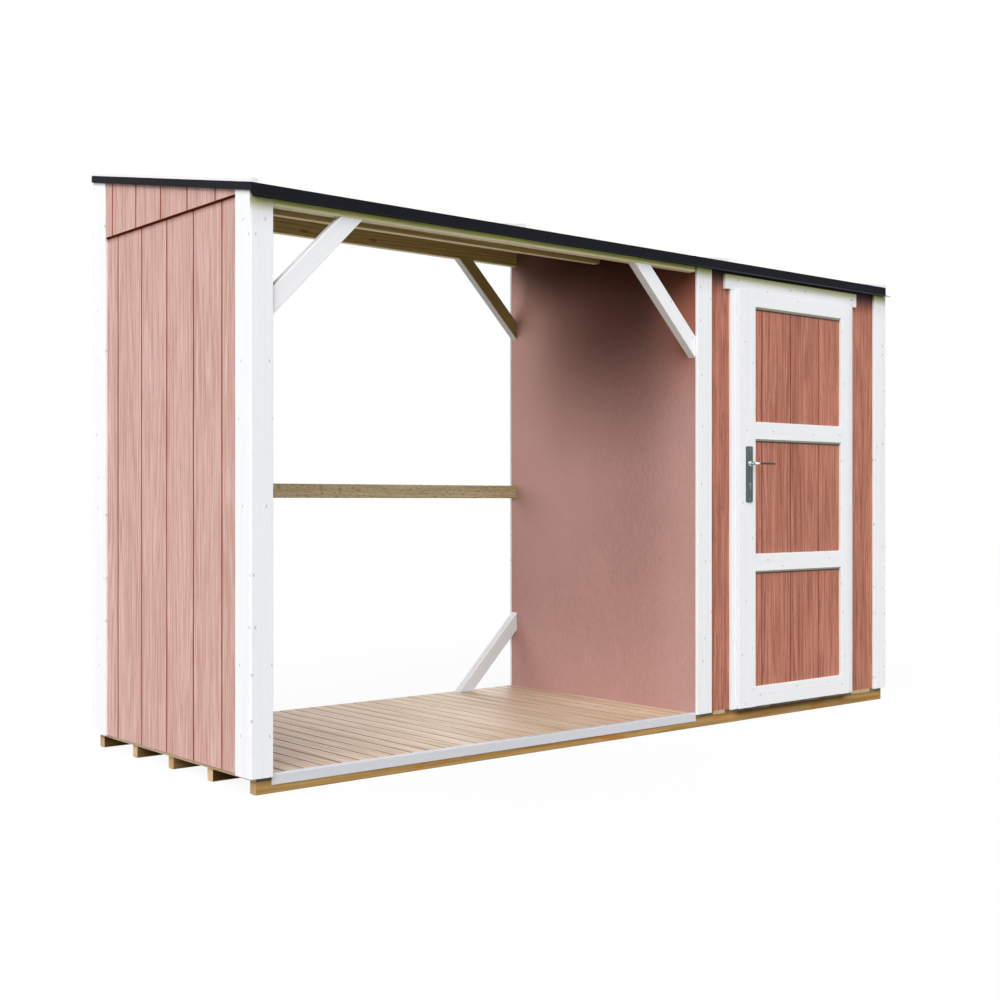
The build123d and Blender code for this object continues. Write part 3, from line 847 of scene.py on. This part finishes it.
class LOGSTORE_OT_sheets(StoreOperator):
    """Grooved sheets of the end walls, the gables and the rear of the shed"""

    bl_idname = "log_store.sheets"
    bl_label = "Wall sheets"

    def build(self, sizes, colours):
        rows = np.arange(-8, 9) * sizes.groove_pitch
        width, depth = sizes.groove_width, sizes.groove_depth

        def sheet(name, node, outward, middle, bevel=0.0, lap=None):
            """Grooves across the width; the foot's outer edge may slope back by a bevel."""
            low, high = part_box(node)
            foot = low.z - (sizes.gable_drop if bevel else 0)
            back, face = (high.x, low.x) if outward < 0 else (low.x, high.x)
            outline, cuts = grooved(low.y, high.y, back, face, middle + rows, width, depth)
            outline = outline[:, ::-1]
            rings = np.empty((3, len(outline), 3))
            rings[:, :, :2] = outline
            rings[0, :, 0] -= np.where(outline[:, 0] == back, 0, outward * bevel)
            rings[0, :, 2], rings[1, :, 2] = foot, foot + bevel
            rings[2, :, 2] = underside(outline[:, 1])
            # The bevelled foot is marked 2 and the grooves 1, both for painted shade
            marks = [np.full(len(cuts), 2), cuts] if bevel else cuts
            pile = Pile().add(rings[0 if bevel else 1:], marks, (2, 0))
            paint = finish(name.replace("sheet", "red"), red_paint, pale=True, grooves=(1, middle), lap=lap)
            pile.make(name, "store", "red_paint", paint, node)

        for side, outward in (("left", -1), ("right", 1)):
            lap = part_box(f"{side}_gable")[0].z
            sheet(f"{side}_wall_sheet", f"{side}_cladding", outward, sizes.end_groove, lap=lap)
            sheet(f"{side}_gable_sheet", f"{side}_gable", outward, sizes.gable_groove, sizes.gable_bevel)

        low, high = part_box("rear_cladding")
        places = low.x + sizes.groove_pitch * np.arange(1, 8)
        outline, cuts = grooved(low.x, high.x, low.y, high.y, places, width, depth)
        pile = Pile().bar(2, outline, low.z, lambda x, y: underside(y), cuts)
        paint = finish("rear_wall_red", red_paint, grooves=(0, low.x))
        pile.make("rear_wall_sheet", "store", "red_paint", paint, "rear_cladding")


class LOGSTORE_OT_white_boards(StoreOperator):
    """White boards on the wall ends, on the corners and round the doorway"""

    bl_idname = "log_store.white_boards"
    bl_label = "White boards"

    def build(self, sizes, colours):
        spans = [
            (LEFT, BAY_LEFT), (BAY_RIGHT, BAY_RIGHT + sizes.middle_board), (RIGHT - sizes.right_board, RIGHT)
        ]
        pile = Pile()
        for x0, x1 in spans:
            pile.bar(2, rounded(x0, x1, FRONT, FACE_FRONT, sizes.arris), BOARD_LOW.z, FASCIA_LOW.z)
        for x0, x1 in spans:
            outline = rounded(x0, x1, FACE_REAR, REAR, sizes.arris)
            pile.bar(2, outline, BOARD_LOW.z, lambda x, y: underside(y))
        pile.make("end_board_set", "store", "white_paint", white(kind="eaves"), "end_boards")

        pile = Pile()
        for x0, x1 in ((LEFT, LEFT_SHEET_LOW.x), (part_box("right_cladding")[1].x, RIGHT)):
            for y0, y1 in ((FACE_FRONT, GABLE_LOW.y), (GABLE_HIGH.y, FACE_REAR)):
                pile.bar(2, rounded(x0, x1, y0, y1, sizes.arris), BOARD_LOW.z, lambda x, y: underside(y))
        pile.make("side_board_set", "store", "white_paint", white(), "side_boards")

        low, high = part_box("door_casing")
        pile = Pile()
        for x0, x1 in ((low.x, low.x + sizes.casing), (high.x - sizes.casing, high.x)):
            pile.bar(2, rounded(x0, x1, low.y, high.y, sizes.arris), low.z, high.z)
        pile.make("casing_boards", "store", "white_paint", white(kind="casing"), "door_casing")

        low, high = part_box("door_header")
        outline = rounded(low.y, high.y, low.z, high.z - sizes.header_gap, sizes.arris)
        pile = Pile().bar(0, outline, low.x - sizes.header_shift, high.x - sizes.header_shift)
        pile.make("header_board", "store", "white_paint", white("X", "eaves"), "door_header")


class LOGSTORE_OT_bay_frame(StoreOperator):
    """Beams, purlins, rail and braces of the open bay"""

    bl_idname = "log_store.bay_frame"
    bl_label = "Bay frame"

    def build(self, sizes, colours):
        radius = sizes.timber_arris

        def beam(name, node, spans, slot, material):
            """Bars of one timber; the upper corners of the outline climb with the roof."""
            low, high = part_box(node)
            head = underside(low.y)
            outline = rounded(low.y, high.y, low.z, head, (radius, radius, 0, 0))
            climb = underside(outline[:, 0]) - head
            outline[:, 1] += np.where(outline[:, 1] > head - radius / 2, climb, 0)
            pile = Pile()
            for x0, x1 in spans:
                # Undersides are marked: the timbers take painted light there, and the eaves beam keeps them
                # out of its painted shade
                pile.bar(0, outline, x0, x1, facing(outline, 1, low.z))
            pile.make(name, "store", slot, material, node)

        bay, shed = (BAY_LEFT, BAY_RIGHT), [corner.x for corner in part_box("shed_top_plates")]
        beam("front_beam_bar", "front_beam", [bay], "white_paint", finish("beam_white", beam_paint))
        beam("purlin_bars", "purlins", [bay, shed], "pine", timber("X"))
        beam("rear_beam_bar", "rear_beam", [bay], "pine", timber("X"))
        low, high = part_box("rear_rail")
        pile = Pile().bar(0, rounded(low.y, high.y, low.z, high.z, radius), low.x, high.x)
        pale = finish("rail_wood", bare_wood, RAIL_WOOD, RAIL_WOOD_DARK, "X", vary=0.4, flecks=0.7)
        pile.make("rear_rail_bar", "store", "pine", pale, "rear_rail")

        wider = sizes.front_brace - sizes.rear_brace
        for name, node, way_z, kind, width, more in (
            ("front_brace", "front_braces", -1, "plain", sizes.front_brace, wider),
            ("rear_upper_brace", "rear_upper_braces", -1, "sooted", sizes.rear_brace, 0),
            ("rear_lower_brace", "rear_lower_braces", 1, "rear", sizes.rear_brace, 0),
        ):
            low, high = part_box(node)
            corner_z = high.z if way_z < 0 else low.z
            reach = high.z - low.z + more * math.sqrt(2)
            for side, corner_x, way_x in (("left", BAY_LEFT, 1), ("right", BAY_RIGHT, -1)):
                turn = "RISING" if way_x * way_z < 0 else "FALLING"
                pile = Pile().brace(
                    corner_x, corner_z, way_x, way_z, reach, width, low.y, high.y, sizes.arris
                )
                pile.make(f"{name}_{side}", "store", "white_paint", white(turn, kind), node)


class LOGSTORE_OT_roof(StoreOperator):
    """Boarded deck, felt, fascia, drip edge and battens"""

    bl_idname = "log_store.roof"
    bl_label = "Roof"

    def build(self, sizes, colours):
        felt = finish("mineral_felt", felt_finish)
        thick = DECK_LOW.x - FELT_LOW.x
        deck_height = sizes.roof - thick
        rows = np.arange(DECK_LOW.x + sizes.deck_pitch, DECK_HIGH.x, sizes.deck_pitch)
        joint, deep = 0.004, 0.003
        outline, _ = grooved(DECK_LOW.x, DECK_HIGH.x, deck_height, 0.0, rows, joint, deep)
        pile = Pile().climb(outline, DECK_LOW.y + thick, DECK_HIGH.y - thick)
        pile.make("deck_boards", "store", "pine", timber("Y"), "roof_deck")

        top = deck_height + thick + sizes.felt_swell
        drop = fold = 0.003
        cap = np.array([
            (FELT_LOW.x, -drop), (FELT_LOW.x, top - fold), (FELT_LOW.x + fold, top),
            (FELT_HIGH.x - fold, top), (FELT_HIGH.x, top - fold), (FELT_HIGH.x, -drop),
            (DECK_HIGH.x, -drop), (DECK_HIGH.x, deck_height), (DECK_LOW.x, deck_height), (DECK_LOW.x, -drop),
        ])
        pile = Pile().climb(cap, FELT_LOW.y, FELT_HIGH.y)
        edge = rounded(DECK_LOW.x, DECK_HIGH.x, 0.0, deck_height, 0)
        pile.climb(edge, FELT_LOW.y, FELT_LOW.y + thick)
        pile.climb(edge, FELT_HIGH.y - thick, FELT_HIGH.y)
        pile.make("felt_cap", "store", "roof_felt", felt, "roof_felt")

        low, high = FASCIA_LOW, FASCIA_HIGH
        cut, edge, splay, clear = 0.007, 0.002, 0.6, 0.001
        outline = np.array([
            (low.x, underside(low.y)), (low.x, low.z + cut), (low.x + sizes.mitre, low.z), (high.x, low.z),
            (high.x, underside(low.y)),
        ])
        pile = Pile().bar(
            1, outline, low.y, lambda x, z: np.minimum(low.y + edge + (x - low.x) * splay, FRONT - clear)
        )
        pile.make("fascia_strip", "store", "roof_felt", felt, "roof_fascia")

        low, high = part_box("drip_edge")
        lip = rounded(low.y, high.y, low.z, high.z, (0.001, 0, 0, 0.002))
        pile = Pile().bar(0, lip, FASCIA_LOW.x + sizes.mitre, high.x)
        pile.make("drip_strip", "store", "drip_metal", finish("drip_paint", drip_finish), "drip_edge")

        low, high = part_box("roof_battens")
        soft = 0.004
        pile = Pile()
        for x in np.linspace(low.x, high.x - sizes.batten_width, sizes.battens):
            outline = rounded(x, x + sizes.batten_width, top, top + sizes.batten_height, (0, 0, soft, soft))
            pile.climb(outline, FELT_LOW.y, FELT_HIGH.y)
        pale = finish("batten_white", coat, BATTEN_WHITE, 0.5)
        pile.make("batten_bars", "store", "batten_paint", pale, "roof_battens")


class LOGSTORE_OT_door(StoreOperator):
    """Door leaf: grooved sheet, stiles and chamfered rails"""

    bl_idname = "log_store.door"
    bl_label = "Door"

    def build(self, sizes, colours):
        low, high = LEAF_LOW, LEAF_HIGH
        rows = sizes.door_groove + np.arange(-2, 3) * sizes.groove_pitch
        narrow = sizes.groove_width * 0.6
        outline, cuts = grooved(low.x, high.x, high.y, low.y, rows, narrow, sizes.groove_depth)
        pile = Pile().bar(2, outline, low.z, high.z, cuts)
        red = finish("door_red", red_paint, grooves=(0, sizes.door_groove))
        pile.make("door_grooved_sheet", "door", "red_paint", red, "door_sheet")

        face, back = STILE_LOW.y, STILE_HIGH.y
        inner_left, inner_right = low.x + sizes.lock_stile, high.x - sizes.hinge_stile
        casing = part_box("door_casing")[0].x + sizes.casing
        foot, head = low.z - sizes.leaf_drop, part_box("door_header")[0].z + sizes.leaf_lap
        pile = Pile()
        for x0, x1 in ((casing - sizes.leaf_lap, inner_left), (inner_right, high.x)):
            outline = rounded(x0, x1, face, back, (sizes.arris, sizes.arris, 0, 0))
            # The left sides of the stiles are marked for painted shade
            pile.bar(2, outline, foot, head, facing(outline, 0, x0))
        clear = 0.0008
        outline = rounded(casing - sizes.leaf_lap, casing, back, FRONT - clear, 0)
        pile.bar(2, outline, foot, head, facing(outline, 0, outline[0, 0]))
        pile.make("door_stile_boards", "door", "white_paint", white(kind="leaf"), "door_stiles")

        panel = (high.z - low.z - sizes.top_rail - sizes.panels * sizes.rail) / sizes.panels
        feet = low.z + np.arange(sizes.panels) * (panel + sizes.rail)
        cut, soft = sizes.rail_chamfer, sizes.arris
        lower, proud, sunk, deep = 0.003, 0.002, 0.001, 0.005
        spans = [(z, z + sizes.rail) for z in feet[1:]]
        pile = Pile()
        for z0, z1 in [(foot, feet[0] + sizes.rail - lower), *spans, (high.z - sizes.top_rail, head)]:
            raised = z0 > foot
            bevel = cut if raised else soft
            outline = np.array([
                (back, z0), (back, z1), (face + soft, z1), (face + soft * 0.3, z1 - soft * 0.3),
                (face, z1 - soft), (face, z0 + bevel), (face + bevel, z0),
            ])
            # The bevel under a raised rail is marked for painted shade
            pile.bar(0, outline, inner_left, inner_right, facing(outline, 1, z0 + bevel / 2) * raised)
            if raised:
                # A dark strip under a raised rail stands in for the rail's shadow on the sheet
                shadow_strip = rounded(low.y - proud, low.y + sunk, z0 - deep, z0, 0)
                pile.bar(0, shadow_strip, inner_left, inner_right, 2)
        pile.make("door_rail_boards", "door", "white_paint", white("X", "rail"), "door_rails")


class LOGSTORE_OT_lever_set(StoreOperator):
    """Lever handles, their long plates and the lock cylinder"""

    bl_idname = "log_store.lever_set"
    bl_label = "Lever set"

    def build(self, sizes, colours):
        satin = finish("satin_metal", metal, colours.handle, 0.36, "Z")
        bright = finish("bright_metal", metal, BRIGHT_METAL, 0.22, "X")
        grey = finish("grey_metal", metal, GREY_METAL, 0.35, "X")
        dark = finish("dark_metal", metal, DARK_METAL, 0.3, "X")
        thick, corner = sizes.plate, 0.005
        x, _, z = LEVER_PIVOT

        # Outline of the lock cylinder: a round head over a narrower round tongue
        round_head, round_tongue, above, below, proud = 0.0085, 0.005, 0.008, 0.0115, 0.0015
        angle = np.linspace(-0.3 * math.pi, 1.3 * math.pi, 17)
        turn = angle[4:-4] + math.pi
        head = round_head * np.stack([np.cos(angle), np.sin(angle)], 1) + (0, above)
        tongue = round_tongue * np.stack([np.cos(turn), np.sin(turn)], 1) - (0, below)
        cylinder = np.concatenate([head, tongue]) + (x, sizes.key_height)
        screw, screw_inset = [(0.0038, 0), (0.0036, 0.0008), (0.002, 0.0013), (0.0003, 0.0014)], 0.014

        low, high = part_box("handle_plates")
        plates, cylinders = Pile(), Pile()
        for base, way in ((STILE_LOW.y, -1), (LEAF_HIGH.y, 1)):
            rings = []
            for inset, height in ((0, 0), (0, 0.6), (0.0008, 0.9), (0.0022, 1.0)):
                edge = rounded(low.x + inset, high.x - inset, low.z + inset, high.z - inset, corner, 5)
                rings.append(np.insert(edge, 1, base + way * thick * height, axis=1))
            plates.add(np.array(rings))
            face = base + way * thick
            cylinders.bar(1, cylinder, face, face + way * proud)
            for height in (low.z + screw_inset, high.z - screw_inset):
                cylinders.turned((x, face, height), (0, way, 0), screw, 14)
        plates.make("lever_plates", "door", "handle_metal", satin, "handle_plates", smooth=35)
        cylinders.make("lock_and_screws", "door", "handle_metal", grey, smooth=35)

        # Each lever: a neck out of the plate, a quarter bend, then the grip with a rounded tip
        low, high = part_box("lever_handle")
        bend, neck, bar = sizes.lever_bend, sizes.lever_neck, sizes.lever_bar
        quarter, inside, outside = np.linspace(0, math.pi / 2, 9)[1:], 0.012, 0.004
        tip = high.x - sizes.lever_short
        collar = [(0.0125, 0), (0.0125, 0.003), (0.0115, 0.0045), (0.0085, 0.005)]
        pile, hubs = Pile(), Pile()
        for base, way, reach in (
            (STILE_LOW.y - thick, -1, low.y + neck), (LEAF_HIGH.y + thick, 1, high.y - neck)
        ):
            path = [(x, base - way * inside), (x, base + way * outside), (x, reach - way * bend)]
            for a in quarter:
                path.append((x + bend * (1 - math.cos(a)), reach - way * bend * (1 - math.sin(a))))
            path += [(tip - bar * back, reach) for back in (1, 0.5, 0.13, 0)]
            end = bar * np.array([1, 0.87, 0.5, 0.1])
            radii = np.concatenate([[neck] * 3, np.linspace(neck, bar, 8), end])
            path = np.insert(np.array(path), 2, z, axis=1)
            hubs.tube(path[:11], radii[:11])
            pile.tube(path[10:], radii[10:])
            hubs.turned((x, base, z), (0, way, 0), collar, 28)
        pile.make("lever_bars", "lever", "handle_metal", dark, "lever_handle", smooth=50)
        hubs.make("lever_hubs", "lever", "handle_metal", bright, smooth=35)


class LOGSTORE_OT_fixings(StoreOperator):
    """Nails in the floor boards and over the door"""

    bl_idname = "log_store.fixings"
    bl_label = "Fixings"

    def build(self, sizes, colours):
        steel = finish("nail_steel", metal, colours.steel, 0.45)
        head = np.array([(1, 0), (0.96, 0.12), (0.6, 0.22), (0.1, 0.25)]) * sizes.nail_radius
        # Two nails to a board over each bearer that shows
        low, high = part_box("floor_bearers")
        half, sunk, clear, inner = sizes.bearer_width / 2, 0.0002, 0.01, 0.55
        from_joint = (-0.019, -0.056)
        rows = np.linspace(low.y + half, high.y - half, sizes.bearers)
        joints = floor_joints(sizes)
        pile = Pile()
        for x in joints[(joints > BAY_LEFT) & (joints < BAY_RIGHT)]:
            for y in rows[np.abs(rows) < inner]:
                for shift in from_joint:
                    if BAY_LEFT + clear < x + shift < BAY_RIGHT - clear:
                        pile.turned((x + shift, y, FLOOR_HIGH.z - sunk), (0, 0, 1), head, 8)
        pile.make("floor_nails", "store", "hinge_steel", steel)

        low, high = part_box("door_header")
        head = head * (sizes.header_nail / sizes.nail_radius)
        shares = ((0.085, 0.6), (0.47, 0.45), (0.58, 0.55), (0.957, 0.45))
        pile = Pile()
        for share, rise in shares:
            place = (low.x + share * (high.x - low.x), low.y + sunk, low.z + rise * (high.z - low.z))
            pile.turned(place, (0, -1, 0), head, 10)
        pile.make("header_nails", "store", "hinge_steel", steel)


class LOGSTORE_OT_inner_frame(StoreOperator):
    """Finishes of the solids that show as they are"""

    bl_idname = "log_store.inner_frame"
    bl_label = "Inner frame"

    def build(self, sizes, colours):
        raw = finish("frame_pine", bare_wood, colours.pine, colours.pine_dark, "Z", 0.65)
        along = finish("plate_pine", bare_wood, colours.pine, colours.pine_dark, "X", 0.65)
        for material, *nodes in (
            (finish("lining_red", lining_paint), "left_lining", "partition_lining"),
            (finish("front_red", red_paint, shade=True), "front_cladding_left", "front_cladding_right",
             "front_cladding_over"),
            (white(), "hinge_fixed_halves", "hinge_moving_halves"),
            (along, "door_lintel", "sole_plates", "shed_sole_plates", "rake_plates", "shed_top_plates"),
            (raw, "left_posts", "partition_posts", "right_posts", "rear_posts", "door_posts"),
        ):
            for node in nodes:
                slots = frame["nodes"][node].data.materials
                slots.clear()
                slots.append(material)


class LOGSTORE_OT_stage(bpy.types.Operator):
    """Pale floor, soft light and the camera"""

    bl_idname = "log_store.stage"
    bl_label = "Stage"

    def execute(self, context):
        scene, stage = context.scene, context.scene.log_store_stage
        scene.view_settings.view_transform = "Standard"

        half, below = 30.0, -0.0005
        corners = np.array([(-1, -1), (1, -1), (1, 1), (-1, 1)]) * half
        mesh = bpy.data.meshes.new("studio_floor")
        mesh.from_pydata(np.insert(corners, 2, below, axis=1).tolist(), [], [(0, 1, 2, 3)])
        floor = bpy.data.objects.new("studio_floor", mesh)
        scene.collection.objects.link(floor)
        material = bpy.data.materials.new("studio_floor")
        mesh.materials.append(material)
        tree = self.blank(material)
        pale = self.shader(tree, "BsdfDiffuse", PALE_GROUND)
        glow = self.shader(tree, "Emission", WHITE)
        shown = self.blend(tree, GROUND_GLOW, pale, glow)
        bounce = self.shader(tree, "BsdfDiffuse", stage.ground)
        seen = self.blend(tree, self.seen_ray(tree), bounce, shown)
        tree.links.new(seen, tree.nodes.new("ShaderNodeOutputMaterial").inputs[0])

        scene.world = bpy.data.worlds.new("soft_sky")
        tree = self.blank(scene.world)
        light = self.shader(tree, "Background", WHITE)
        light.node.inputs[1].default_value = stage.sky
        seen = self.blend(tree, self.seen_ray(tree), light, self.shader(tree, "Background", WHITE))
        tree.links.new(seen, tree.nodes.new("ShaderNodeOutputWorld").inputs[0])

        for name, angles in LAMPS.items():
            self.lamp(scene, f"{name}_light", *angles, getattr(stage, name))

        camera = bpy.data.cameras.new("camera")
        camera.lens, camera.sensor_width = stage.lens, 36
        camera.shift_x, camera.shift_y = stage.shift
        eye = bpy.data.objects.new("camera", camera)
        scene.collection.objects.link(eye)
        eye.location = stage.camera
        eye.rotation_euler = (math.pi / 2, 0, stage.heading)
        scene.camera = eye
        return {"FINISHED"}

    @staticmethod
    def blank(owner):
        """The cleared node tree of a material or a world."""
        owner.use_nodes = True
        owner.node_tree.nodes.clear()
        return owner.node_tree

    @staticmethod
    def shader(tree, kind, colour):
        node = tree.nodes.new("ShaderNode" + kind)
        node.inputs[0].default_value = (*colour, 1)
        return node.outputs[0]

    @staticmethod
    def blend(tree, share, low, high):
        """Two shaders mixed by a number or by a socket."""
        node = tree.nodes.new("ShaderNodeMixShader")
        if isinstance(share, float):
            node.inputs[0].default_value = share
        else:
            tree.links.new(share, node.inputs[0])
        tree.links.new(low, node.inputs[1])
        tree.links.new(high, node.inputs[2])
        return node.outputs[0]

    @staticmethod
    def seen_ray(tree):
        """One for rays that reach the eye straight, by a mirror or through glass."""
        path = tree.nodes.new("ShaderNodeLightPath")
        total = path.outputs["Is Camera Ray"]
        for name in ("Is Glossy Ray", "Is Transmission Ray"):
            node = tree.nodes.new("ShaderNodeMath")
            node.operation = "MAXIMUM"
            tree.links.new(total, node.inputs[0])
            tree.links.new(path.outputs[name], node.inputs[1])
            total = node.outputs[0]
        return total

    @staticmethod
    def lamp(scene, name, bearing, rise, spread, strength):
        """Broad even light by its bearing, rise and spread."""
        data = bpy.data.lights.new(name, "SUN")
        data.energy, data.angle = strength, math.radians(spread)
        lamp = bpy.data.objects.new(name, data)
        scene.collection.objects.link(lamp)
        bearing, rise = math.radians(bearing), math.radians(rise)
        level = math.cos(rise)
        source = Vector((-math.sin(bearing) * level, -math.cos(bearing) * level, math.sin(rise)))
        lamp.rotation_euler = source.to_track_quat("Z", "Y").to_euler()


PIECES = (
    LOGSTORE_OT_base, LOGSTORE_OT_sheets, LOGSTORE_OT_white_boards, LOGSTORE_OT_bay_frame,
    LOGSTORE_OT_roof, LOGSTORE_OT_door, LOGSTORE_OT_lever_set, LOGSTORE_OT_fixings,
    LOGSTORE_OT_inner_frame, LOGSTORE_OT_stage,
)
GROUPS = {
    "log_store_sizes": LogStoreSizes,
    "log_store_colours": LogStoreColours,
    "log_store_stage": LogStoreStage,
}


class LOGSTORE_PT_panel(bpy.types.Panel):
    """Sizes, colours and pieces of the log store"""

    bl_idname = "LOGSTORE_PT_panel"
    bl_label = "Log store"
    bl_space_type = "VIEW_3D"
    bl_region_type = "UI"
    bl_category = "Log store"

    def draw(self, context):
        for piece in PIECES:
            self.layout.operator(piece.bl_idname)
        for name in GROUPS:
            group = getattr(context.scene, name)
            column = self.layout.column()
            for key in group.bl_rna.properties.keys():
                if key not in ("rna_type", "name"):
                    column.prop(group, key, text=key.replace("_", " ").capitalize())


def register():
    for group in GROUPS.values():
        bpy.utils.register_class(group)
    for name, group in GROUPS.items():
        setattr(bpy.types.Scene, name, PointerProperty(type=group))
    for piece in (*PIECES, LOGSTORE_PT_panel):
        bpy.utils.register_class(piece)


def unregister():
    for piece in (LOGSTORE_PT_panel, *reversed(PIECES)):
        bpy.utils.unregister_class(piece)
    for name, group in GROUPS.items():
        delattr(bpy.types.Scene, name)
        bpy.utils.unregister_class(group)


def main():
    register()
    for piece in PIECES:
        area, call = piece.bl_idname.split(".")
        getattr(getattr(bpy.ops, area), call)()


if __name__ == "__main__":
    main()
